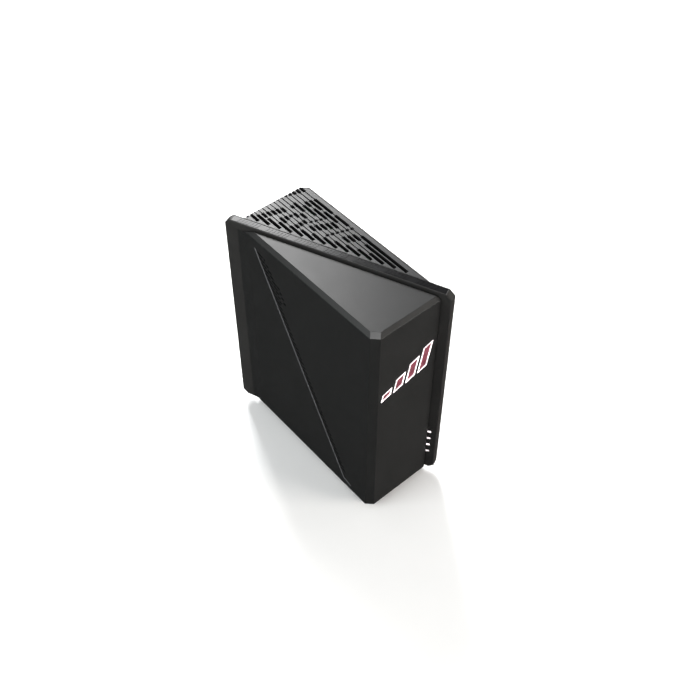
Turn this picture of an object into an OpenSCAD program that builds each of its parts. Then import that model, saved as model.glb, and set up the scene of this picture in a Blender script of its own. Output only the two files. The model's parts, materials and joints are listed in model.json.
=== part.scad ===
// Tower wireless router: two triangular casings either side of an upright diagonal blade.
// Millimetres, +Z up. The origin is on the table, under the middle of the tower.
// The front, with the glowing badge, faces -Y. The sockets face +Y.

/* [Casing] */
// Width of the body across its narrow front
body_w = 57; // [54:0.5:66]
// Depth of the body from front to back
body_d = 134; // [128:1:146]
// Height of the front casing
near_h = 178.2; // [170:0.1:180]
// Height of the back casing, which carries the grille
rear_h = 180.6; // [176:0.1:186]
// Thickness of the moulded walls
wall = 2.2; // [1.8:0.1:2.6]
// Width of the bevel round the top edges
bevel = 2.5; // [1.5:0.1:3]
// Width of the cut on the upright outer corners
corner_cut = 4.5; // [3:0.1:6]
// Height of the casings above the table
foot_h = 5.5; // [5:0.1:7]

/* [Blade] */
// Length of the diagonal blade
blade_len = 158.4; // [157:0.1:166]
// How far the blade is moved along itself, towards the right wing
blade_shift = -1.1; // [-1.1:0.1:0]
// Thickness of the diagonal blade
blade_t = 5.7; // [4.8:0.1:6]
// Gap between the blade and the table
blade_clear = 6.5; // [1:0.1:8]
// Size of the cut on the blade's four corners
blade_cut = 3.8; // [3:0.1:6]
// Thickness of the face plate on the blade's front side
face_t = 1.6; // [1.2:0.1:2]

/* [Grille] */
// Number of slots in the grille
slot_count = 15; // [11:1:15]
// Distance from one slot to the next
slot_pitch = 3.14; // [3:0.02:3.2]
// Width of the open slots
slot_w = 2.3; // [1.2:0.1:2.3]
// Width of the shallow groove that joins them
groove_w = 0.7; // [0.5:0.1:1.2]
// Length of the comb down the back face
comb_h = 20; // [12:1:24]

/* [Side vents] */
// Height from one side slit to the next
slit_pitch = 3.4; // [3:0.1:5]
// Width of a side slit
slit_w = 1.5; // [0.8:0.1:1.6]
// Length of a side slit
slit_len = 5.6; // [5:0.1:8]

/* [Sockets] */
// Distance from one network socket to the next
jack_pitch = 17; // [16.6:0.1:17.4]

/* [Hidden] */
$fn = 48;
eps = 0.01;

half_w = body_w / 2;
half_d = body_d / 2;
diagonal = norm([body_w, body_d]);
blade_dir = [body_w, -body_d] / diagonal;
blade_normal = [body_d, body_w] / diagonal;
blade_angle = -atan2(body_d, body_w);
blade_face = blade_t / 2;
blade_top = foot_h + rear_h;
near_top = foot_h + near_h;
inner_gap = 0.1;
seat_gap = 0.05;

// The inlay along the blade's top
strip_x = blade_len / 2 - blade_cut - 0.8;
strip_y = [-2.1, 2.45];
strip_t = 1.2;

// The groove between the front casing's top and the blade
seam_w = 0.6;
seam_h = 3.5;
seam_bevel = 0.4;
// How far the hollow under the left wing runs along each face
fillet_run = 5;
fillet_steps = 8;

// The window through the blade and both casings that the leads pass through
window_w = 56;
window_low = 44;
window_high = 146;

// Screws
screw_r = 1.3;
screw_bore_r = 1.35;
screw_head_r = 2.7;
blade_screw_x = 40;
blade_screw_z = [28, 160];
boss_r = 3.2;
foot_r = 5.2;
foot_places = [[-20.3, -58], [-20.3, 18], [20.3, 58], [20.3, -18]];
base_t = 2;
boss_h = 4;

// Grille
grille_t = 2.4;
grille_drop = 4.5;
first_slot_x = -half_w + 6.4;
slot_margin = 1.6;
groove_d = 0.9;
// Every slot opens beside the blade; the last two stay open for longer
first_run = 12.5;
long_run = 15;
// Open stretches that step across neighbouring slots. Each row: first slot, last slot, start behind
// the front face, length, then how much start and length change from one slot to the next
open_bands = [
    [3, 7, 122.5, 5, -1, 0],
    [5, 7, 110, 6.5, 1, -2],
    [6, 8, 101, 4, 0, 0],
    [8, 9, 109, 5, -4, 1],
    [8, 12, 92, 6, -1.8, 0.2],
    [9, 14, 83, 1.8, -1.1, 0],
    [9, 11, 99.5, 1.8, -1.2, 0],
    [9, 9, 118, 3, 0, 0],
    [10, 10, 111, 11, 0, 0],
    [10, 14, 130, 5, -1, 1],
    [11, 13, 70, 6.5, -1.6, 0.2],
    [11, 14, 103, 13, -7, 0],
    [12, 14, 112, 6, -7.2, 6.2]
];

// Side vents run beside a slanting line on the left face
line_top = [48.5, 173.5];
line_low = [-39.8, 12.5];
slit_rise = 16;
slit_gap = 1.15;
slit_depth = 0.15;
trim_w = 0.4;
trim_proud = 0.2;
trim_sunk = 0.75;
trim_tail = 7.6;

// Badge on the front: slanting bars that grow towards the right
badge_x = -21.5;
badge_z = 119.5;
badge_bar_w = 7.8;
badge_pitch = 10.2;
badge_first_h = 6;
badge_growth = 5;
badge_climb = 1.6;
badge_lean = 0.2;
badge_rise = 0.3;
badge_count = 4;
rim_w = 0.7;
badge_proud = 0.2;
badge_board_t = 1.2;
badge_board_y = -half_d + wall + 3.6;
badge_post_z = badge_z - 5.5;
badge_post_x = [-16, 16];
badge_led = 2;

// Flat cable from the badge's board through the window to the main board
ribbon_route = [
    [10, -60], [10, -52], [4, -38], [-2, -24], [-3, -10], [3, -2], [11, -8], [17, -14], [19.9, -14]
];
ribbon_t = 0.6;
ribbon_low = 112;
ribbon_w = 9;

// Indicator lights on the inner face of the right wing
light_x = 72.3;
light_z = 25.3;
light_pitch = 7.5;
light_len = 2.6;
light_h = 1.3;
light_slant = 22;
light_count = 4;
guide_x = [57, 75.1];
guide_z = [21, 52.5];
guide_t = 1.4;

// Main board stands upright beside the right wall
board_x = 20;
board_t = 1.6;
board_low = [-28, 12];
board_high = [62, 172];
board_holes = [[-22, 18], [-22, 166], [56, 158], [33, 14.8]];
standoff_r = 2.6;
shield_h = 2.4;
shield_t = 0.4;
cpu_low = [-2, 76];
cpu_size = [34, 34];
radio_size = [34, 26];
radio_low_at = [-2, 40];
radio_high_at = [-2, 120];
pad_t = 1;
fin_count = 9;
fin_pitch = 3.7;
rf_places = [[-6, 58], [-6, 64], [-6, 132], [-6, 138]];

// Back panel and sockets
panel_x = [1.5, 23.5];
panel_z = [10, 157];
panel_t = 1.4;
jack_count = 5;
socket_high = 13.4;
socket_wide = 15.8;
socket_deep = 20;
first_jack_z = 35;
mouth_wide = 12;
mouth_high = 8.4;
mouth_deep = 15;
socket_mid_x = board_x - socket_high / 2;
usb_z = 121;
usb_size = [6.4, 14, 13.6];
usb_mouth = [4.7, 12, 12.2];
inlet_z = 18;
inlet_r = 4.2;
inlet_bore_r = 3.1;
inlet_pin_r = 1;
reset_z = 133;
wps_z = 139.5;
power_z = 150;
button_x = 13;
button_fit = 0.3;
power_size = 8;
wps_r = 2.6;
reset_r = 0.8;
collar_front = half_d - panel_t - 0.3;
collar_t = 1.2;
switch_y = 52.5;

// Antennas stand against the walls: where each is, and which way it faces
antenna_size = [0.8, 14, 44];
antenna_at = [
    [-half_w + wall, -18, 118], [-half_w + wall, -48, 58],
    [8, -half_d + wall, 30], [-18, half_d - wall, 92]
];
antenna_turn = [0, 0, 90, -90];
// Leads run from each antenna to its socket on the board
lead_r = 0.6;
lead_sides = 8;
lead_routes = [
    [[-24.75, -11, 140.2], [-22.5, -11, 140.2], [-16, -10, 140], [-8, -7, 136], [2, -5, 134],
     [10, -5.5, 132.4], [16, -6, 132], [18.8, -6, 132]],
    [[-24.75, -41, 80.2], [-22.5, -41, 80.2], [-17, -32, 78], [-9, -14, 73], [0, -5, 69],
     [9, -5.2, 66], [16, -6, 64], [18.8, -6, 64]],
    [[1, -63.1, 52.2], [1, -61, 52.2], [-2, -46, 53], [-6, -26, 55], [0, -7, 57], [9, -6, 58],
     [16, -6, 58], [18.8, -6, 58]],
    [[-11, 63.25, 114.2], [-11, 61, 115], [-8, 54, 124], [-4, 44, 138], [0, 30, 149.5],
     [5, 14, 151.5], [9, 0, 150], [13.5, -6, 144], [16.5, -6, 138.6], [18.8, -6, 138]]
];

// ---- Outlines ----

function unit(v) = v / norm(v);

// Where the front casing's slanting side crosses a given Y or X, moved off the blade by off
function side_x(y, off) = (-blade_face - off - blade_normal.y * y) / blade_normal.x;
function side_y(x, off) = (-blade_face - off - blade_normal.x * x) / blade_normal.y;

// Outline of the front casing, moved inwards by i from the outer faces and by off from the blade
function near_outline(i, off) = [
    [-half_w + i + corner_cut, -half_d + i],
    [side_x(-half_d + i, off), -half_d + i],
    [-half_w + i, side_y(-half_w + i, off)],
    [-half_w + i, -half_d + i + corner_cut]
];

// The hollow curve that blends the left face into the wing: a quadratic arc through three points
function blend_curve(a, b, c) = [
    for (k = [0:fillet_steps])
        let (t = k / fillet_steps) a * (1 - t) * (1 - t) + 2 * b * t * (1 - t) + c * t * t
];

module near_prism(low, high, i = 0, off = seat_gap) {
    translate([0, 0, low])
        linear_extrude(high - low)
            polygon(near_outline(i, off));
}

module wing_blend(low, high) {
    crease = [-half_w, side_y(-half_w, seat_gap)];
    start = crease - [0, fillet_run];
    stop = crease - blade_dir * fillet_run;
    translate([0, 0, low])
        linear_extrude(high - low)
            polygon(concat(blend_curve(start, crease, stop), [crease, crease + [0.5, -3]]));
}

module half_turn() {
    rotate([0, 0, 180]) children();
}

// Puts X along the blade towards the front right, and Y through it towards the back
module on_blade() {
    rotate([0, 0, blade_angle]) children();
}

// Lays an outline drawn in X and height upright, from y0 to y1
module upright(y0, y1) {
    translate([0, y1, 0])
        rotate([90, 0, 0])
            linear_extrude(y1 - y0)
                children();
}

module box(low, high) {
    translate(low) cube(high - low);
}

module blade_outline(i = 0) {
    x = blade_len / 2 - i;
    low = blade_clear + i;
    high = blade_top - i;
    c = blade_cut - i * 0.4;
    translate([blade_shift, 0]) polygon([
        [-x + c, low], [x - c, low], [x, low + c], [x, high - c],
        [x - c, high], [-x + c, high], [-x, high - c], [-x, low + c]
    ]);
}

module blade_window(y0, y1) {
    box([-window_w / 2, y0, window_low], [window_w / 2, y1, window_high]);
}

module at_blade_screws() {
    for (x = [-blade_screw_x, blade_screw_x])
        for (z = blade_screw_z)
            translate([x, 0, z])
                rotate([-90, 0, 0])
                    children();
}

// ---- Blade ----

module blade_frame() {
    color("#1b1b1d") on_blade() difference() {
        upright(-blade_face + face_t, blade_face) blade_outline();
        blade_window(-blade_face, blade_face + 1);
        at_blade_screws() translate([0, 0, -blade_t]) cylinder(h = 2 * blade_t, r = 1.7);
        strip_pocket();
        light_guide_pocket();
    }
}

module blade_face_plate() {
    plate_back = -blade_face + face_t;
    edge = 0.5;
    color("#1d1d20") on_blade() difference() {
        union() {
            upright(-blade_face + edge, plate_back) blade_outline();
            hull() {
                upright(-blade_face + edge - eps, -blade_face + edge) blade_outline();
                upright(-blade_face, -blade_face + eps) blade_outline(edge);
            }
        }
        blade_window(-blade_face - 1, blade_face);
        at_blade_screws() translate([0, 0, -blade_t]) cylinder(h = 2 * blade_t, r = 1.7);
        strip_pocket();
        indicator_windows(-blade_face - 1, plate_back + 1, 0.05);
        guide_inlet(plate_back + 1, 0.1);
    }
}

module strip_pocket() {
    translate([blade_shift, 0, 0])
        box([-strip_x, strip_y[0], blade_top - strip_t], [strip_x, strip_y[1], blade_top + 1]);
}

// A black inlay with raised slanting strokes in groups
module blade_top_strip() {
    stroke = 2.2;
    lean = 1.1;
    relief = 0.2;
    group = 9;
    color("#0c0c0d") on_blade() translate([blade_shift, 0, 0]) {
        box([-strip_x + inner_gap, strip_y[0] + inner_gap, blade_top - strip_t],
            [strip_x - inner_gap, strip_y[1] - inner_gap, blade_top - relief]);
        for (k = [0:59])
            if (k % group != 7 && k % group != 8)
                translate([-strip_x + 4 + k * (2 * strip_x - 10) / 60, 0, blade_top - relief - eps])
                    linear_extrude(relief + eps)
                        polygon([
                            [0, strip_y[0] + 0.6],
                            [stroke * 0.45, strip_y[0] + 0.6],
                            [stroke * 0.45 + lean, strip_y[1] - 0.6],
                            [lean, strip_y[1] - 0.6]
                        ]);
    }
}

// ---- Casings ----

module near_casing() {
    seam_z = near_top - seam_h;
    color("#26272a") difference() {
        union() {
            near_prism(foot_h, seam_z);
            near_prism(seam_z, near_top - bevel, 0, seam_w);
            hull() {
                near_prism(near_top - bevel - eps, near_top - bevel, 0, seam_w);
                near_prism(near_top - eps, near_top, bevel, seam_w + seam_bevel);
            }
            wing_blend(foot_h + 1.5, seam_z);
        }
        difference() {
            near_prism(foot_h - 1, near_top - wall - 0.4, wall, wall);
            near_bosses();
            at_badge_posts(-half_d + wall - eps) difference() {
                cylinder(h = 3.6 + eps, r = 2.4);
                translate([0, 0, 0.4]) cylinder(h = 4, r = 0.95);
            }
        }
        on_blade() blade_window(-blade_face - wall - 1, 0);
        on_blade() at_blade_screws()
            translate([0, 0, -blade_face - wall - 0.5]) cylinder(h = blade_face + wall + 1, r = 1.7);
        near_boss_bores();
        side_slits();
        trim_channel();
        badge_openings(inner_gap / 2);
        on_blade() guide_inlet(0, 0.15);
        // Shadow groove beside the right wing
        translate([side_x(-half_d, 0), -half_d, foot_h - 1])
            on_blade() box([-1.2, -0.7, 0], [1.6, 1, near_h + 2]);
    }
}

module near_bosses() {
    for (p = [foot_places[0], foot_places[1]])
        translate([p.x, p.y, foot_h]) {
            cylinder(h = base_t + boss_h, r = boss_r);
            translate([-boss_r - 4, -1, base_t]) cube([boss_r + 4, 2, boss_h]);
        }
}

module near_boss_bores() {
    for (p = [foot_places[0], foot_places[1]])
        translate([p.x, p.y, foot_h - 1]) {
            cylinder(h = base_t + boss_h + 0.5, r = screw_bore_r);
            cylinder(h = base_t + 1 + inner_gap, r = boss_r + 1);
        }
}

module rear_casing() {
    split_z = blade_top - grille_drop;
    panel_mid = [(panel_x[0] + panel_x[1]) / 2, 0];
    color("#232427") difference() {
        union() {
            half_turn() near_prism(foot_h, split_z);
            half_turn() wing_blend(foot_h + 1.5, split_z);
        }
        difference() {
            half_turn() near_prism(foot_h - 1, split_z + 1, wall, wall);
            rear_bosses();
        }
        on_blade() blade_window(0, blade_face + wall + 1);
        on_blade() at_blade_screws() cylinder(h = 11.5, r = screw_bore_r);
        half_turn() near_boss_bores();
        // Seat and opening of the back panel
        box([panel_x[0], half_d - panel_t, panel_z[0]], [panel_x[1], half_d + 1, panel_z[1]]);
        box([panel_x[0] + 1.4, half_d - wall - 1, panel_z[0] + 1.6],
            [panel_x[1] - 1.4, half_d, panel_z[1] - 1.6]);
        // Room for the comb that the grille hangs down the back face
        box([first_slot_x - 2.2, half_d - wall - 1, split_z - comb_h],
            [half_w - corner_cut - 0.3, half_d + 1, split_z + 1]);
        // Cooling slits low on the right wall
        for (k = [0:17])
            box([half_w - wall - 1, -20 + k * 4.4, 22], [half_w + 1, -18.4 + k * 4.4, 48]);
    }
}

module rear_bosses() {
    half_turn() near_bosses();
    on_blade() at_blade_screws() translate([0, 0, blade_face]) cylinder(h = 10, r = boss_r);
    for (p = board_holes)
        translate([board_x + board_t, p[0], p[1]])
            rotate([0, 90, 0])
                cylinder(h = half_w - wall - board_x - board_t + 1, r = standoff_r);
}

// ---- Grille ----

function slot_x(k) = first_slot_x + k * slot_pitch;
// Where slot k stops beside the blade
function slot_end(k) = -side_y(-slot_x(k), slot_margin);

module open_slot(k, start, length) {
    low = max(start, slot_end(k));
    high = start + length > half_d - 0.5 ? half_d + 1 : start + length;
    box([slot_x(k) - slot_w / 2, low, blade_top - grille_t - 3],
        [slot_x(k) + slot_w / 2, high, blade_top + 1]);
}

module grille_slots() {
    for (k = [0:slot_count - 1]) {
        box([slot_x(k) - groove_w / 2, slot_end(k) + 1, blade_top - groove_d],
            [slot_x(k) + groove_w / 2, half_d + 1, blade_top + 1]);
        open_slot(k, slot_end(k), first_run + max(0, k - 12) * long_run);
    }
    for (band = open_bands)
        for (k = [band[0]:1:min(band[1], slot_count - 1)])
            open_slot(k, band[2] - half_d + (k - band[0]) * band[4], band[3] + (k - band[0]) * band[5]);
}

module top_grille() {
    low = blade_top - grille_drop;
    color("#2a2b2e") difference() {
        union() {
            half_turn() near_prism(low, blade_top - bevel);
            half_turn() hull() {
                near_prism(blade_top - bevel - eps, blade_top - bevel);
                near_prism(blade_top - eps, blade_top, bevel);
            }
            half_turn() wing_blend(low, blade_top - 1.4);
            box([first_slot_x - 2, half_d - wall, low - comb_h + 0.2],
                [half_w - corner_cut - 0.5, half_d, low + 1]);
        }
        half_turn() near_prism(low - 1, blade_top - grille_t, wall, wall);
        grille_slots();
        // The comb: each slot runs over the edge and down the back face
        for (k = [0:slot_count - 1])
            box([slot_x(k) - groove_w / 2, half_d - wall - 1, low - comb_h + 3],
                [slot_x(k) + groove_w / 2, half_d + 1, blade_top + 1]);
    }
}

// ---- Left side ----

function line_point(t) = line_top + (line_low - line_top) * t;

// Draws in depth and height on the left face; from x0 to x1
module on_left(x0, x1) {
    translate([x0, 0, 0])
        rotate([90, 0, 90])
            linear_extrude(x1 - x0)
                children();
}

module slit(p, length, grow) {
    translate(p)
        rotate(slit_rise + 180)
            translate([-grow, -slit_w / 2 - grow])
                square([length + 2 * grow, slit_w + 2 * grow]);
}

module slit_rows(grow = 0) {
    height = line_top.y - line_low.y;
    step = (slit_len + slit_gap) * [cos(slit_rise), sin(slit_rise)];
    for (k = [0:floor((height - 8) / slit_pitch) - 1]) {
        p = line_point((2 + k * slit_pitch) / height) - [slit_gap, 0];
        slit(p, slit_len, grow);
        if (k < 9)
            slit(p - step, k < 3 ? 1.5 + k * 1.4 : 5.2 - abs(k - 4) * 0.7, grow);
        if (k > 3 && k < 8)
            slit(p - 2 * step + [0.8, 0.2], 2.6, grow);
    }
}

module side_slits() {
    on_left(-half_w - 1, -half_w + wall + 0.5) slit_rows();
}

// Black insert behind the left wall; its teeth reach into the slits
module side_vent_mesh() {
    color("#070708") intersection() {
        union() {
            on_left(-half_w + wall, -half_w + wall + 0.6)
                polygon([
                    line_point(0) + [1, 1], line_point(0) + [-10, 1],
                    line_point(0.24) + [-20, 0], line_point(1) + [-9, -5],
                    line_point(1) + [1, -4], line_point(0.5) + [1, 0]
                ]);
            on_left(-half_w + slit_depth, -half_w + wall + eps) slit_rows(-inner_gap / 2);
        }
        near_prism(foot_h, near_top, slit_depth / 2, wall + inner_gap);
    }
}

// A straight stroke from a to b that reaches w to each side and past both ends
module stroke(a, b, w) {
    along = w * unit(b - a);
    across = [-along.y, along.x];
    polygon([a - along - across, b + along - across, b + along + across, a - along + across]);
}

// The slanting line bends once, at its lower end, to run beside the last slit
module trim_outline(grow) {
    w = trim_w / 2 + grow;
    stroke(line_top, line_low, w);
    stroke(line_low, line_low - trim_tail * [cos(slit_rise), sin(slit_rise)], w);
}

module trim_channel() {
    on_left(-half_w - 1, -half_w + trim_sunk + 0.05) trim_outline(0.03);
}

module side_trim() {
    color("#8b8d90") on_left(-half_w - trim_proud, -half_w + trim_sunk) trim_outline(0);
}

// ---- Underside ----

module near_base_plate() {
    difference() {
        near_prism(foot_h, foot_h + base_t, wall + inner_gap, wall + inner_gap);
        for (p = [foot_places[0], foot_places[1]])
            translate([p.x, p.y, foot_h - 1]) cylinder(h = base_t + 2, r = screw_bore_r + 0.25);
        for (k = [0:5])
            box([-14, -50 + k * 9, foot_h - 1], [-14 + 12 - k * 0.6, -50 + k * 9 + 2, foot_h + base_t + 1]);
    }
}

module near_base() {
    color("#18181a") near_base_plate();
}

module rear_base() {
    color("#18181a") half_turn() near_base_plate();
}

module rubber_feet() {
    color("#0a0a0a") for (p = foot_places)
        translate([p.x, p.y, 0]) difference() {
            union() {
                cylinder(h = 1, r1 = foot_r - 0.8, r2 = foot_r);
                translate([0, 0, 1]) cylinder(h = foot_h - 1, r = foot_r);
            }
            translate([0, 0, 2.6]) cylinder(h = foot_h, r = screw_head_r + 0.4);
        }
}

module base_screws() {
    color("#7c7d80") for (p = foot_places)
        translate([p.x, p.y, foot_h - 1.8]) {
            difference() {
                cylinder(h = 1.8, r = screw_head_r);
                translate([0, 0, -1]) cylinder(h = 2, r = 1.1, $fn = 6);
            }
            translate([0, 0, 1.8 - eps]) cylinder(h = base_t + boss_h - 1.2, r = screw_r);
        }
}

module blade_screws() {
    head_back = -blade_face - wall;
    color("#7c7d80") on_blade() at_blade_screws() {
        translate([0, 0, head_back - 1.8]) difference() {
            cylinder(h = 1.8, r = screw_head_r);
            translate([0, 0, -1]) cylinder(h = 2, r = 1.1, $fn = 6);
        }
        translate([0, 0, head_back - eps]) cylinder(h = blade_t + wall + 8, r = screw_r);
    }
}

// ---- Badge ----

// A four-sided bar from corner o along the edges a and b, shrunk evenly by i
function slanted_bar(o, a, b, i) =
    let (ua = unit(a), ub = unit(b), s = i / abs(cross(ua, ub)))
    [o + s * (ua + ub), o + a + s * (ub - ua), o + a + b - s * (ua + ub), o + b + s * (ua - ub)];

module badge_bars(i = 0) {
    for (k = [0:badge_count - 1]) {
        h = badge_first_h + k * badge_growth;
        polygon(slanted_bar([badge_x + k * badge_pitch, badge_z + k * badge_climb],
            badge_bar_w * [1, badge_rise], h * [badge_lean, 1], i));
    }
}

module badge_openings(grow) {
    upright(-half_d - 1, -half_d + wall + 1) badge_bars(-grow);
}

module emblem_rim() {
    color("#f4f0f2") upright(-half_d - badge_proud, -half_d + wall + 0.25) difference() {
        badge_bars();
        badge_bars(rim_w);
    }
}

module emblem_core() {
    back = -half_d + wall + 0.3;
    color("#c01040") {
        upright(-half_d + 0.15, back) badge_bars(rim_w + 0.02);
        box([badge_x, back - eps, badge_z - 2], [-badge_x - 0.5, back + 1.5, badge_z + 28]);
    }
}

module at_badge_posts(y) {
    for (x = badge_post_x)
        translate([x, y, badge_post_z])
            rotate([-90, 0, 0])
                children();
}

module emblem_light_board() {
    color("#1e5a32") difference() {
        box([badge_x + 1, badge_board_y, badge_z - 8.5],
            [-badge_x - 2.5, badge_board_y + badge_board_t, badge_z + 30]);
        at_badge_posts(badge_board_y - 1) cylinder(h = 4, r = 1.2);
    }
}

// Two lights behind each bar, one at its foot and one near its tip
module emblem_leds() {
    color("#f2eecb") for (k = [0:badge_count - 1])
        for (j = [0:1])
            translate([badge_x + 3 + k * badge_pitch, badge_board_y - 1,
                badge_z + badge_led + k * badge_climb + j * (2.4 + badge_growth * k)])
                cube([badge_led, 1, badge_led]);
}

module emblem_screws() {
    color("#7c7d80") at_badge_posts(badge_board_y + badge_board_t) {
        difference() {
            cylinder(h = 1.2, r = 1.9);
            translate([0, 0, 0.6]) cylinder(h = 1, r = 0.7, $fn = 6);
        }
        translate([0, 0, -3.6]) cylinder(h = 3.6 + eps, r = 0.9);
    }
}

// One side of a strip that follows a route in plan
function strip_side(route, d) = [
    for (i = [0:len(route) - 1])
        let (w = unit(route[min(i + 1, len(route) - 1)] - route[max(i - 1, 0)]))
        route[i] + d * [-w.y, w.x]
];

module emblem_ribbon() {
    left = strip_side(ribbon_route, ribbon_t / 2);
    right = strip_side(ribbon_route, -ribbon_t / 2);
    color("#d8d4c8") translate([0, 0, ribbon_low]) linear_extrude(ribbon_w)
        polygon(concat(left, [for (k = [len(right) - 1:-1:0]) right[k]]));
}

// ---- Indicator lights ----

module at_lights() {
    for (k = [0:light_count - 1])
        translate([light_x, 0, light_z + k * light_pitch])
            children();
}

module light_outline(grow) {
    rotate(light_slant)
        translate([-light_len / 2 - grow, -light_h / 2 - grow])
            square([light_len + 2 * grow, light_h + 2 * grow]);
}

module indicator_windows(y0, y1, grow) {
    at_lights() upright(y0, y1) light_outline(grow);
}

module guide_inlet(y1, grow) {
    box([guide_x[0] - grow, -blade_face - wall - 0.8, guide_z[0] + 4 - grow],
        [guide_x[0] + 3 + grow, y1, guide_z[1] - 4 + grow]);
}

module light_guide_pocket() {
    y = -blade_face + face_t;
    box([guide_x[0] - 0.2, y - 1, guide_z[0] - 0.2], [guide_x[1] + 0.2, y + guide_t + 0.2, guide_z[1] + 0.2]);
}

module indicator_guide() {
    y = -blade_face + face_t;
    color("#e8e8e4") on_blade() {
        box([guide_x[0], y, guide_z[0]], [guide_x[1], y + guide_t, guide_z[1]]);
        indicator_windows(-blade_face - 0.1, y + 0.5, 0);
        guide_inlet(y + 0.5, 0);
    }
}

module indicator_board() {
    y = -blade_face - wall - 2.6;
    color("#1e5a32") on_blade() {
        box([guide_x[0] - 8, y, guide_z[0]], [guide_x[0] + 4, y + 1, guide_z[1]]);
        for (k = [0:light_count - 1])
            box([guide_x[0] + 0.6, y + 1 - eps, light_z + k * (light_pitch - 1.2)],
                [guide_x[0] + 2.4, y + 1.6, light_z + k * (light_pitch - 1.2) + 2]);
    }
}

// ---- Boards ----

module main_board() {
    color("#14492a") difference() {
        box([board_x, board_low[0], board_low[1]], [board_x + board_t, board_high[0], board_high[1]]);
        for (p = board_holes)
            translate([board_x - 1, p[0], p[1]]) rotate([0, 90, 0]) cylinder(h = 4, r = 1.5);
    }
}

module board_screws() {
    color("#8a8c90") for (p = board_holes)
        translate([board_x - 1.6, p[0], p[1]])
            rotate([0, 90, 0])
                difference() {
                    cylinder(h = 1.6, r = 2.4);
                    translate([0, 0, -1]) cylinder(h = 1.8, r = 0.9, $fn = 6);
                }
}

module shield(low, size) {
    high = low + size;
    color("#b9bcc0") difference() {
        box([board_x - shield_h, low.x, low.y], [board_x, high.x, high.y]);
        box([board_x - shield_h + shield_t, low.x + shield_t, low.y + shield_t],
            [board_x + 1, high.x - shield_t, high.y - shield_t]);
    }
}

module cpu_shield() {
    shield(cpu_low, cpu_size);
}

module radio_shield_low() {
    shield(radio_low_at, radio_size);
}

module radio_shield_high() {
    shield(radio_high_at, radio_size);
}

module thermal_pads() {
    color("#7d8fa6") for (s = [[cpu_low, cpu_size], [radio_low_at, radio_size], [radio_high_at, radio_size]])
        box([board_x - shield_h - pad_t, s[0].x + 5, s[0].y + 5],
            [board_x - shield_h, s[0].x + s[1].x - 5, s[0].y + s[1].y - 5]);
}

// One finned plate over the processor and both radios
module heatsink() {
    back = board_x - shield_h - pad_t;
    low = [-3, 39];
    high = [34, 147];
    fin = 8;
    color("#9fa3a8") {
        box([back - 2, low[0], low[1]], [back, high[0], high[1]]);
        for (k = [0:fin_count - 1])
            box([back - 2 - fin, low[0] + 6 + k * fin_pitch, low[1] + 2],
                [back - 1.9, low[0] + 7 + k * fin_pitch, high[1] - 2]);
    }
}

module memory_chips() {
    color("#17181a") {
        for (k = [0:1])
            box([board_x - 1.2, 36, 80 + k * 15], [board_x, 45, 91 + k * 15]);
        box([board_x - 1, -22, 84], [board_x, -10, 96]);
    }
}

module power_parts() {
    color("#3a3c40") {
        for (k = [0:2])
            translate([board_x - 8.5, 42, 17 + k * 8.5]) rotate([0, 90, 0]) cylinder(h = 8.5, r = 3.1);
        for (k = [0:2])
            box([board_x - 4, 4 + k * 8, 16], [board_x, 10.4 + k * 8, 22.4]);
    }
}

// Four tiny coaxial sockets for the antenna leads
module rf_sockets() {
    color("#c8a84a") for (p = rf_places)
        translate([board_x - 1.2, p[0], p[1]]) rotate([0, 90, 0]) difference() {
            cylinder(h = 1.2, r = 1.4);
            translate([0, 0, -1]) cylinder(h = 1.6, r = 0.8);
        }
}

// Switches behind the three buttons
module tact_switches() {
    color("#4a4c50") for (z = [power_z, wps_z, reset_z])
        box([board_x - 10, switch_y - 3, z - 2.6], [board_x, switch_y, z + 2.6]);
}

// ---- Back panel ----

module network_socket(k) {
    z = first_jack_z + k * jack_pitch;
    mouth_low = [socket_mid_x - mouth_high / 2, half_d - mouth_deep, z - mouth_wide / 2];
    color("#2c2e31") difference() {
        box([board_x - socket_high, half_d - socket_deep, z - socket_wide / 2],
            [board_x, half_d - 0.1, z + socket_wide / 2]);
        box(mouth_low, [socket_mid_x + mouth_high / 2, half_d + 1, z + mouth_wide / 2]);
        // Room for the plug's latch
        box([socket_mid_x + mouth_high / 2 - 0.5, half_d - mouth_deep + 3, z - 3],
            [socket_mid_x + mouth_high / 2 + 1.4, half_d + 1, z + 3]);
    }
    color("#c9a545") for (j = [0:7])
        translate([socket_mid_x - mouth_high / 2 - eps, half_d - mouth_deep + 1, z - 3.8 + j * 1.02])
            cube([0.5, 9, 0.4]);
}

module usb_socket() {
    mid = board_x - usb_size.x / 2;
    color("#b4b7bb") difference() {
        box([board_x - usb_size.x, half_d - usb_size.z, usb_z - usb_size.y / 2],
            [board_x, half_d - 0.1, usb_z + usb_size.y / 2]);
        box([mid - usb_mouth.x / 2, half_d - usb_mouth.z, usb_z - usb_mouth.y / 2],
            [mid + usb_mouth.x / 2, half_d + 1, usb_z + usb_mouth.y / 2]);
    }
}

module power_inlet() {
    mid = board_x - 6;
    color("#1a1b1d") difference() {
        union() {
            box([board_x - 11, half_d - 14, inlet_z - 4.6], [board_x, half_d - 2.6, inlet_z + 4.6]);
            translate([mid, half_d - 3, inlet_z]) rotate([-90, 0, 0]) cylinder(h = 2.9, r = inlet_r);
        }
        translate([mid, half_d - 11, inlet_z]) rotate([-90, 0, 0]) cylinder(h = 12, r = inlet_bore_r);
    }
    color("#c9ccd0") translate([mid, half_d - 11.1, inlet_z])
        rotate([-90, 0, 0]) cylinder(h = 10, r = inlet_pin_r);
}

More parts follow.
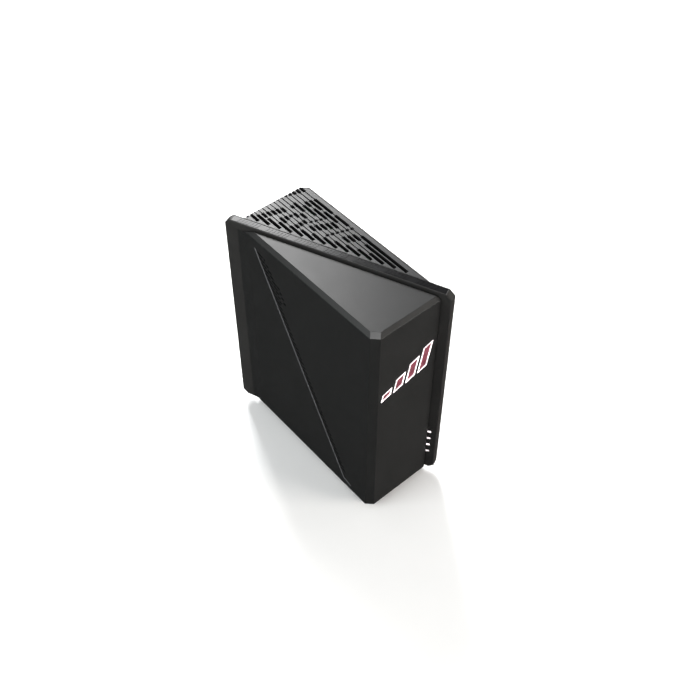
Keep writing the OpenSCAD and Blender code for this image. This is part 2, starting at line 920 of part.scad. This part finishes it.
module port_panel() {
    y = half_d - panel_t;
    color("#101113") difference() {
        box([panel_x[0] + inner_gap, y, panel_z[0] + inner_gap],
            [panel_x[1] - inner_gap, half_d, panel_z[1] - inner_gap]);
        for (k = [0:jack_count - 1])
            box([board_x - socket_high - 0.15, y - 1, first_jack_z + k * jack_pitch - socket_wide / 2 - 0.15],
                [board_x + 0.15, half_d + 1, first_jack_z + k * jack_pitch + socket_wide / 2 + 0.15]);
        box([board_x - usb_size.x - 0.15, y - 1, usb_z - usb_size.y / 2 - 0.15],
            [board_x + 0.15, half_d + 1, usb_z + usb_size.y / 2 + 0.15]);
        translate([board_x - 6, y - 1, inlet_z]) rotate([-90, 0, 0]) cylinder(h = 4, r = inlet_r + 0.1);
        box([button_x - power_size / 2 - button_fit, y - 1, power_z - power_size / 2 - button_fit],
            [button_x + power_size / 2 + button_fit, half_d + 1, power_z + power_size / 2 + button_fit]);
        translate([button_x, y - 1, wps_z]) rotate([-90, 0, 0]) cylinder(h = 4, r = wps_r + button_fit);
        translate([button_x, y - 1, reset_z]) rotate([-90, 0, 0]) cylinder(h = 4, r = reset_r + button_fit);
    }
}

// Each button has a cap through the panel and a wider collar that stops behind it
module power_button() {
    back = half_d - wall - 0.9;
    color("#2f3134") {
        box([button_x - power_size / 2, back, power_z - power_size / 2],
            [button_x + power_size / 2, half_d + 1.4, power_z + power_size / 2]);
        box([button_x - power_size / 2 - 0.8, collar_front - collar_t, power_z - power_size / 2 - 0.8],
            [button_x + power_size / 2 + 0.8, collar_front, power_z + power_size / 2 + 0.8]);
        box([button_x - 1.5, switch_y + 2.2, power_z - 1.5], [button_x + 1.5, back + eps, power_z + 1.5]);
    }
}

module round_button(z, r, tip, travel) {
    stem = switch_y + travel + 0.4;
    color("#3a3c3f") translate([button_x, 0, z]) rotate([-90, 0, 0]) {
        translate([0, 0, half_d - 4]) cylinder(h = 4 + tip, r = r);
        translate([0, 0, collar_front - collar_t]) cylinder(h = collar_t, r = r + 0.9);
        translate([0, 0, stem]) cylinder(h = half_d - 4 - stem + eps, r = min(r, 1.2));
    }
}

module wps_button() {
    round_button(wps_z, wps_r, 0.7, 0.6);
}

module reset_button() {
    round_button(reset_z, reset_r, -1, 0.5);
}

// ---- Antennas ----

module antenna(k) {
    color("#1a4f30") translate(antenna_at[k]) rotate([0, 0, antenna_turn[k]]) {
        cube(antenna_size);
    }
    color("#c8a84a") translate(antenna_at[k]) rotate([0, 0, antenna_turn[k]]) {
        translate([0.8 - eps, 5, 21]) cube([0.6, 4, 2.4]);
    }
}

function smooth_point(p, i, t) =
    let (a = p[max(i - 1, 0)], b = p[i], c = p[i + 1], d = p[min(i + 2, len(p) - 1)])
    0.5 * (2 * b + (c - a) * t + (2 * a - 5 * b + 4 * c - d) * t * t + (3 * b - a - 3 * c + d) * t * t * t);
function smooth_route(p, n) = concat(
    [for (i = [0:len(p) - 2]) for (k = [0:n - 1]) smooth_point(p, i, k / n)], [p[len(p) - 1]]);

// A round tube swept along a list of points
module tube(points, r) {
    n = len(points);
    ways = [for (i = [0:n - 1]) unit(points[min(i + 1, n - 1)] - points[max(i - 1, 0)])];
    rings = [for (i = [0:n - 1])
        let (side = unit(cross(ways[i], [0.13, 0.21, 1])), other = cross(ways[i], side))
        for (k = [0:lead_sides - 1])
            points[i] + r * (cos(360 * k / lead_sides) * side + sin(360 * k / lead_sides) * other)];
    walls = [for (i = [0:n - 2]) for (k = [0:lead_sides - 1])
        let (a = i * lead_sides + k, b = i * lead_sides + (k + 1) % lead_sides)
        [a, a + lead_sides, b + lead_sides, b]];
    polyhedron(points = rings, faces = concat(
        [[for (k = [0:lead_sides - 1]) k]], walls,
        [[for (k = [lead_sides - 1:-1:0]) (n - 1) * lead_sides + k]]));
}

module antenna_lead(k) {
    color("#3b3b3e") tube(smooth_route(lead_routes[k], 3), lead_r);
}

// ---- Parts ----

blade_frame();
blade_face_plate();
blade_top_strip();
near_casing();
rear_casing();
top_grille();
side_vent_mesh();
side_trim();
near_base();
rear_base();
rubber_feet();
base_screws();
blade_screws();
emblem_core();
emblem_rim();
emblem_light_board();
emblem_leds();
emblem_screws();
emblem_ribbon();
indicator_guide();
indicator_board();
port_panel();
main_board();
board_screws();
cpu_shield();
radio_shield_low();
radio_shield_high();
thermal_pads();
heatsink();
memory_chips();
power_parts();
tact_switches();
rf_sockets();
network_socket(0);  // socket_1
network_socket(1);  // socket_2
network_socket(2);  // socket_3
network_socket(3);  // socket_4
network_socket(4);  // socket_5
usb_socket();
power_inlet();
power_button();
wps_button();
reset_button();
antenna(0);  // antenna_1
antenna(1);  // antenna_2
antenna(2);  // antenna_3
antenna(3);  // antenna_4
antenna_lead(0);  // antenna_lead_1
antenna_lead(1);  // antenna_lead_2
antenna_lead(2);  // antenna_lead_3
antenna_lead(3);  // antenna_lead_4
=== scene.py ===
import json
import math

import bpy
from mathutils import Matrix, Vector

MM = 0.001

# The camera: where it looks, and from which side
CAM_TARGET = Vector((0.04042, 0.04295, 0.0955))
CAM_AZIMUTH = -40.5
CAM_ELEVATION = 45.84
CAM_DISTANCE = 0.7271
CAM_LENS = 52.66
CAM_SENSOR = 36.0
CAM_SHIFT_Y = -0.08

# Where the painted shade inside the USB socket gives way to the bright tin of its mouth, from the inside out
USB_SHADE_EDGE = (0.0662, 0.0668)

# Edge rounding of the moulded pieces
SHELL_ROUND = 0.2 * MM
SMALL_ROUND = 0.1 * MM

# Edges that turn by more than this are rounded
SHARP_ANGLE = math.radians(28)

# Points closer than this are one point, for the rounding
WELD_GAP = 0.002 * MM
ROUND_STEPS = 2

# How far a moulded surface's colour and roughness wander, and over what length
MOTTLE = 0.07
POLISH = 0.02
CLOUD_SIZE = 14 * MM

# Depth of the texture on moulded pieces, and of the lines on metal and lit ones
TEXTURE_DEPTH = 0.02 * MM
FINE_DEPTH = 0.01 * MM

# The floor, in metres: its side, and how far it lies under the feet
FLOOR_SIZE = 40
FLOOR_DROP = 0.0002

# Strength of the studio's surroundings, above the horizon and below it
SKY_ABOVE = 0.55
SKY_BELOW = 0.03

# The heights in the surroundings, as sines, between which they brighten
SKY_RISE = (-0.10, -0.04)


def direction(azimuth, elevation):
    """From the object towards a place at this azimuth and elevation, in degrees."""
    a, e = math.radians(azimuth), math.radians(elevation)
    return Vector((math.sin(a) * math.cos(e), -math.cos(a) * math.cos(e), math.sin(e)))


# ---- Material helpers ----

def new_material(name):
    m = bpy.data.materials.new(name)
    m.use_nodes = True
    nodes = m.node_tree.nodes
    return m, nodes, m.node_tree.links, nodes["Principled BSDF"]


def grain(nodes, links, size, detail=2.0, rough=0.5):
    """Noise in object space with features of about this size in metres."""
    coord = nodes.new("ShaderNodeTexCoord")
    noise = nodes.new("ShaderNodeTexNoise")
    noise.inputs["Scale"].default_value = 1.0 / size
    noise.inputs["Detail"].default_value = detail
    noise.inputs["Roughness"].default_value = rough
    links.new(coord.outputs["Object"], noise.inputs["Vector"])
    return noise.outputs["Fac"]


def spread(nodes, links, value, low, high, start=0.3, stop=0.7):
    """Maps a noise value onto a range."""
    m = nodes.new("ShaderNodeMapRange")
    m.inputs["From Min"].default_value = start
    m.inputs["From Max"].default_value = stop
    m.inputs["To Min"].default_value = low
    m.inputs["To Max"].default_value = high
    links.new(value, m.inputs["Value"])
    return m.outputs["Result"]


def two_tone(nodes, links, value, dark, light, start=0.3, stop=0.7):
    """Maps a value onto the colours between two."""
    ramp = nodes.new("ShaderNodeValToRGB")
    ramp.color_ramp.elements[0].position = start
    ramp.color_ramp.elements[0].color = (*dark, 1)
    ramp.color_ramp.elements[1].position = stop
    ramp.color_ramp.elements[1].color = (*light, 1)
    links.new(value, ramp.inputs["Fac"])
    return ramp.outputs["Color"]


def bump(nodes, links, bsdf, value, strength, depth):
    """Raises the surface with a value, by at most this depth in metres."""
    b = nodes.new("ShaderNodeBump")
    b.inputs["Strength"].default_value = strength
    b.inputs["Distance"].default_value = depth
    links.new(value, b.inputs["Height"])
    links.new(b.outputs["Normal"], bsdf.inputs["Normal"])


def shade(colour, k):
    return tuple(min(1.0, c * k) for c in colour)


def moulded(name, colour, rough, specular=0.3, texture=0.22 * MM, relief=0.35):
    """Moulded plastic: fine spark texture, slight cloudiness, and patches of polish."""
    m, nodes, links, bsdf = new_material(name)
    cloud = grain(nodes, links, CLOUD_SIZE, 4.0)
    fine = grain(nodes, links, texture, 3.0, 0.65)
    tint = two_tone(nodes, links, cloud, shade(colour, 1 - MOTTLE), shade(colour, 1 + MOTTLE))
    links.new(tint, bsdf.inputs["Base Color"])
    polish = spread(nodes, links, cloud, rough - POLISH, rough + POLISH)
    links.new(polish, bsdf.inputs["Roughness"])
    bsdf.inputs["Specular IOR Level"].default_value = specular
    bump(nodes, links, bsdf, fine, relief, TEXTURE_DEPTH)
    return m


def metal(name, colour, rough, stretch=(1, 1, 12), size=1.2 * MM):
    """Sheet or turned metal with fine directional lines."""
    m, nodes, links, bsdf = new_material(name)
    coord = nodes.new("ShaderNodeTexCoord")
    place = nodes.new("ShaderNodeMapping")
    place.inputs["Scale"].default_value = stretch
    noise = nodes.new("ShaderNodeTexNoise")
    noise.inputs["Scale"].default_value = 1.0 / size
    noise.inputs["Detail"].default_value = 5.0
    links.new(coord.outputs["Object"], place.inputs["Vector"])
    links.new(place.outputs["Vector"], noise.inputs["Vector"])
    value = noise.outputs["Fac"]
    tint = two_tone(nodes, links, value, shade(colour, 0.85), shade(colour, 1.1))
    links.new(tint, bsdf.inputs["Base Color"])
    links.new(spread(nodes, links, value, rough - 0.08, rough + 0.1), bsdf.inputs["Roughness"])
    bsdf.inputs["Metallic"].default_value = 1.0
    bump(nodes, links, bsdf, value, 0.15, FINE_DEPTH)
    return m


def lit(name, body, glow, strength):
    """A lit diffuser, a little uneven, with a glossy skin."""
    m, nodes, links, bsdf = new_material(name)
    cloud = grain(nodes, links, 5 * MM, 3.0)
    links.new(two_tone(nodes, links, cloud, shade(body, 0.7), body, 0.35, 0.6), bsdf.inputs["Base Color"])
    links.new(two_tone(nodes, links, cloud, shade(glow, 0.5), glow, 0.35, 0.6), bsdf.inputs["Emission Color"])
    bsdf.inputs["Emission Strength"].default_value = strength
    bsdf.inputs["Roughness"].default_value = 0.3
    bump(nodes, links, bsdf, grain(nodes, links, 0.4 * MM), 0.1, FINE_DEPTH)
    return m


def usb_shell_painted_shade():
    """Bright tin at the mouth, with shade painted dark inside it."""
    m, nodes, links, bsdf = new_material("usb_shell_painted_shade")
    coord = nodes.new("ShaderNodeTexCoord")
    axes = nodes.new("ShaderNodeSeparateXYZ")
    links.new(coord.outputs["Object"], axes.inputs["Vector"])
    painted_shade_mask = spread(nodes, links, axes.outputs["Y"], 0, 1, *USB_SHADE_EDGE)
    # Painted shade: the tin's colour turns near-black inside the mouth
    depth = two_tone(nodes, links, painted_shade_mask, (0.004, 0.004, 0.005), (0.45, 0.46, 0.48), 0, 1)
    links.new(depth, bsdf.inputs["Base Color"])
    links.new(spread(nodes, links, grain(nodes, links, 2 * MM), 0.3, 0.4), bsdf.inputs["Roughness"])
    bsdf.inputs["Metallic"].default_value = 1.0
    bump(nodes, links, bsdf, grain(nodes, links, 0.3 * MM), 0.1, FINE_DEPTH)
    return m


def mesh_cloth_painted_shade(name):
    """Black perforated mesh behind the side slits; its near-black colour also paints the shade inside the
    slits.
    """
    m, nodes, links, bsdf = new_material(name)
    coord = nodes.new("ShaderNodeTexCoord")
    cells = nodes.new("ShaderNodeTexVoronoi")
    cells.inputs["Scale"].default_value = 1.0 / (0.9 * MM)
    cells.inputs["Randomness"].default_value = 0.1
    links.new(coord.outputs["Object"], cells.inputs["Vector"])
    # Holes and web are darker than the mesh's own black: painted shade for the slits in front
    painted_shade_hole, web = (0.0003, 0.0003, 0.0003), (0.0016, 0.0016, 0.0018)
    tint = two_tone(nodes, links, cells.outputs["Distance"], painted_shade_hole, web, 0.2, 0.5)
    links.new(tint, bsdf.inputs["Base Color"])
    bsdf.inputs["Roughness"].default_value = 0.8
    bsdf.inputs["Specular IOR Level"].default_value = 0.02
    bump(nodes, links, bsdf, cells.outputs["Distance"], 0.6, 0.2 * MM)
    return m


def circuit(name, colour):
    """Solder mask over copper traces, and a fine weave."""
    m, nodes, links, bsdf = new_material(name)
    coord = nodes.new("ShaderNodeTexCoord")
    brick = nodes.new("ShaderNodeTexBrick")
    brick.inputs["Scale"].default_value = 1.0 / (9 * MM)
    brick.inputs["Mortar Size"].default_value = 0.03
    brick.inputs["Color1"].default_value = (*shade(colour, 0.8), 1)
    brick.inputs["Color2"].default_value = (*colour, 1)
    brick.inputs["Mortar"].default_value = (*shade(colour, 1.9), 1)
    turn = nodes.new("ShaderNodeMapping")
    turn.inputs["Rotation"].default_value = (0, math.pi / 2, 0)
    links.new(coord.outputs["Object"], turn.inputs["Vector"])
    links.new(turn.outputs["Vector"], brick.inputs["Vector"])
    links.new(brick.outputs["Color"], bsdf.inputs["Base Color"])
    bsdf.inputs["Roughness"].default_value = 0.32
    bump(nodes, links, bsdf, brick.outputs["Fac"], 0.3, 0.03 * MM)
    return m


def paper_floor():
    m, nodes, links, bsdf = new_material("floor_pale")
    value = grain(nodes, links, 60 * MM, 3.0)
    tint = two_tone(nodes, links, value, (0.93, 0.93, 0.93), (0.96, 0.96, 0.96))
    links.new(tint, bsdf.inputs["Base Color"])
    bsdf.inputs["Roughness"].default_value = 0.9
    bsdf.inputs["Specular IOR Level"].default_value = 0.1
    bump(nodes, links, bsdf, grain(nodes, links, 1 * MM), 0.05, 0.02 * MM)
    return m


def make_materials():
    """Every material slot. Moulded ones take colour, roughness and specular level."""
    return {
        "blade_black": moulded("blade_black", (0.024, 0.0234, 0.0228), 0.30, 0.13),
        "strip_black": moulded("strip_black", (0.005, 0.005, 0.0055), 0.20, 0.10, relief=0.12),
        "casing_satin": moulded("casing_satin", (0.0145, 0.0148, 0.0148), 0.36, 0.16),
        "grille_satin": moulded("grille_satin", (0.015, 0.015, 0.0155), 0.34, 0.20),
        "mesh_black": mesh_cloth_painted_shade("mesh_black"),
        # Grey trim whose light grey also paints the highlight along the step's edge
        "trim_grey": moulded("trim_grey", (0.20, 0.20, 0.21), 0.30, 0.5, relief=0.15),
        "base_black": moulded("base_black", (0.010, 0.010, 0.011), 0.6, 0.3),
        "foot_rubber": moulded("foot_rubber", (0.008, 0.008, 0.008), 0.8, 0.2, texture=0.5 * MM, relief=0.5),
        "screw_steel": metal("screw_steel", (0.45, 0.45, 0.47), 0.35, (1, 1, 1), 0.6 * MM),
        "light_red": lit("light_red", (0.10, 0.018, 0.027), (0.14, 0.045, 0.060), 1.0),
        "light_white": lit("light_white", (0.9, 0.84, 0.86), (1.0, 0.90, 0.92), 1.6),
        "board_green": circuit("board_green", (0.02, 0.12, 0.05)),
        "cable_white": moulded("cable_white", (0.6, 0.57, 0.5), 0.4, 0.4),
        "panel_black": moulded("panel_black", (0.010, 0.010, 0.011), 0.5, 0.3),
        "shield_tin": metal("shield_tin", (0.6, 0.61, 0.63), 0.3, (1, 1, 8)),
        "pad_blue": moulded("pad_blue", (0.18, 0.26, 0.38), 0.85, 0.2, relief=0.5),
        "heatsink_alloy": metal("heatsink_alloy", (0.62, 0.63, 0.65), 0.38, (1, 1, 0.1), 0.8 * MM),
        "chip_black": moulded("chip_black", (0.014, 0.014, 0.015), 0.5, 0.35),
        "contact_gold": metal("contact_gold", (0.8, 0.58, 0.25), 0.25),
        "button_grey": moulded("button_grey", (0.035, 0.035, 0.038), 0.4, 0.35),
        "socket_black": moulded("socket_black", (0.018, 0.018, 0.020), 0.3, 0.45, relief=0.1),
        "cable_grey": moulded("cable_grey", (0.04, 0.04, 0.043), 0.5, 0.35),
    }


# ---- Pieces ----

def round_edges(obj, width):
    """Rounds the sharp edges, and keeps the flats between them flat."""
    weld = obj.modifiers.new("weld", "WELD")
    weld.merge_threshold = WELD_GAP
    edge = obj.modifiers.new("edge", "BEVEL")
    edge.width = width
    edge.segments = ROUND_STEPS
    edge.limit_method = "ANGLE"
    edge.angle_limit = SHARP_ANGLE
    edge.use_clamp_overlap = False
    for face in obj.data.polygons:
        face.use_smooth = False


def dress(frame, materials):
    """Gives every CAD node its material."""
    for part in frame["record"]["subparts"]:
        obj = frame["nodes"][part["node"]]
        obj.data.materials.clear()
        obj.data.materials.append(materials[part["material_slot"]])
    # The USB socket's tin differs from the shields': shade is painted dark inside it
    frame["nodes"]["usb_socket"].data.materials[0] = usb_shell_painted_shade()


# ---- Stage ----

def area_light(name, azimuth, elevation, distance, size, power, colour=(1, 1, 1), size_y=None):
    """A panel facing the camera's target: degrees, metres and watts."""
    data = bpy.data.lights.new(name, "AREA")
    data.shape = "RECTANGLE"
    data.size = size
    data.size_y = size_y or size
    data.energy = power
    data.color = colour
    obj = bpy.data.objects.new(name, data)
    back = direction(azimuth, elevation)
    obj.location = CAM_TARGET + back * distance
    obj.rotation_mode = "QUATERNION"
    obj.rotation_quaternion = back.to_track_quat("Z", "Y")
    obj.visible_camera = False
    bpy.context.scene.collection.objects.link(obj)
    return obj


def studio_world():
    """White surroundings that fall away to dark just below the horizon."""
    world = bpy.data.worlds.new("studio")
    world.use_nodes = True
    nodes, links = world.node_tree.nodes, world.node_tree.links
    coord = nodes.new("ShaderNodeTexCoord")
    axes = nodes.new("ShaderNodeSeparateXYZ")
    links.new(coord.outputs["Generated"], axes.inputs["Vector"])
    strength = spread(nodes, links, axes.outputs["Z"], SKY_BELOW, SKY_ABOVE, *SKY_RISE)
    links.new(strength, nodes["Background"].inputs["Strength"])
    nodes["Background"].inputs["Color"].default_value = (1, 1, 1, 1)
    return world


def make_stage():
    """Floor, surroundings and lights, each light seen from the camera's target."""
    bpy.ops.mesh.primitive_plane_add(size=FLOOR_SIZE, location=(0, 0, -FLOOR_DROP))
    floor = bpy.context.object
    floor.name = "floor"
    floor.data.materials.append(paper_floor())
    # The floor lights the object but isn't mirrored in its sides
    floor.visible_glossy = False
    bpy.context.scene.world = studio_world()
    area_light("key_over_back", 154, 46, 1.5, 0.42, 34, size_y=0.7)
    area_light("fill_left", -103, 28, 1.8, 1.0, 19, (0.95, 1.0, 0.99))
    area_light("fill_front", 32, 8, 1.8, 0.8, 42, (1.0, 0.94, 0.88), size_y=0.5)
    # Only a gleam on the facets that face the camera
    gleam = area_light("beside_camera", -43, 48, 1.6, 0.3, 40)
    gleam.visible_diffuse = False
    bpy.context.scene.view_settings.view_transform = "Standard"


def make_camera():
    data = bpy.data.cameras.new("camera")
    data.lens = CAM_LENS
    data.sensor_width = CAM_SENSOR
    data.shift_y = CAM_SHIFT_Y
    data.clip_start = 0.05
    data.clip_end = 50
    cam = bpy.data.objects.new("camera", data)
    back = direction(CAM_AZIMUTH, CAM_ELEVATION)
    cam.location = CAM_TARGET + back * CAM_DISTANCE
    cam.rotation_mode = "QUATERNION"
    cam.rotation_quaternion = (-back).to_track_quat("-Z", "Y")
    bpy.context.scene.collection.objects.link(cam)
    bpy.context.scene.camera = cam


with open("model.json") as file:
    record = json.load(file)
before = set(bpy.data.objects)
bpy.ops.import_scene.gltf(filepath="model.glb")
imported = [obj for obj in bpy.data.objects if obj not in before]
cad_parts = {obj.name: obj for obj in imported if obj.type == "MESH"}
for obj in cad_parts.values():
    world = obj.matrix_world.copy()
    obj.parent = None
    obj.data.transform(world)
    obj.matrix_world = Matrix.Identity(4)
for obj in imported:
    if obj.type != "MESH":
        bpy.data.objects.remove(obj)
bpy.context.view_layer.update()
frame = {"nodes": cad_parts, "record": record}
dress(frame, make_materials())
for node in ("blade_frame", "blade_face_plate", "rear_casing"):
    round_edges(frame["nodes"][node], SHELL_ROUND)
for node in ("near_casing", "top_grille", "power_button", "near_base", "rear_base"):
    round_edges(frame["nodes"][node], SMALL_ROUND)
make_camera()
make_stage()
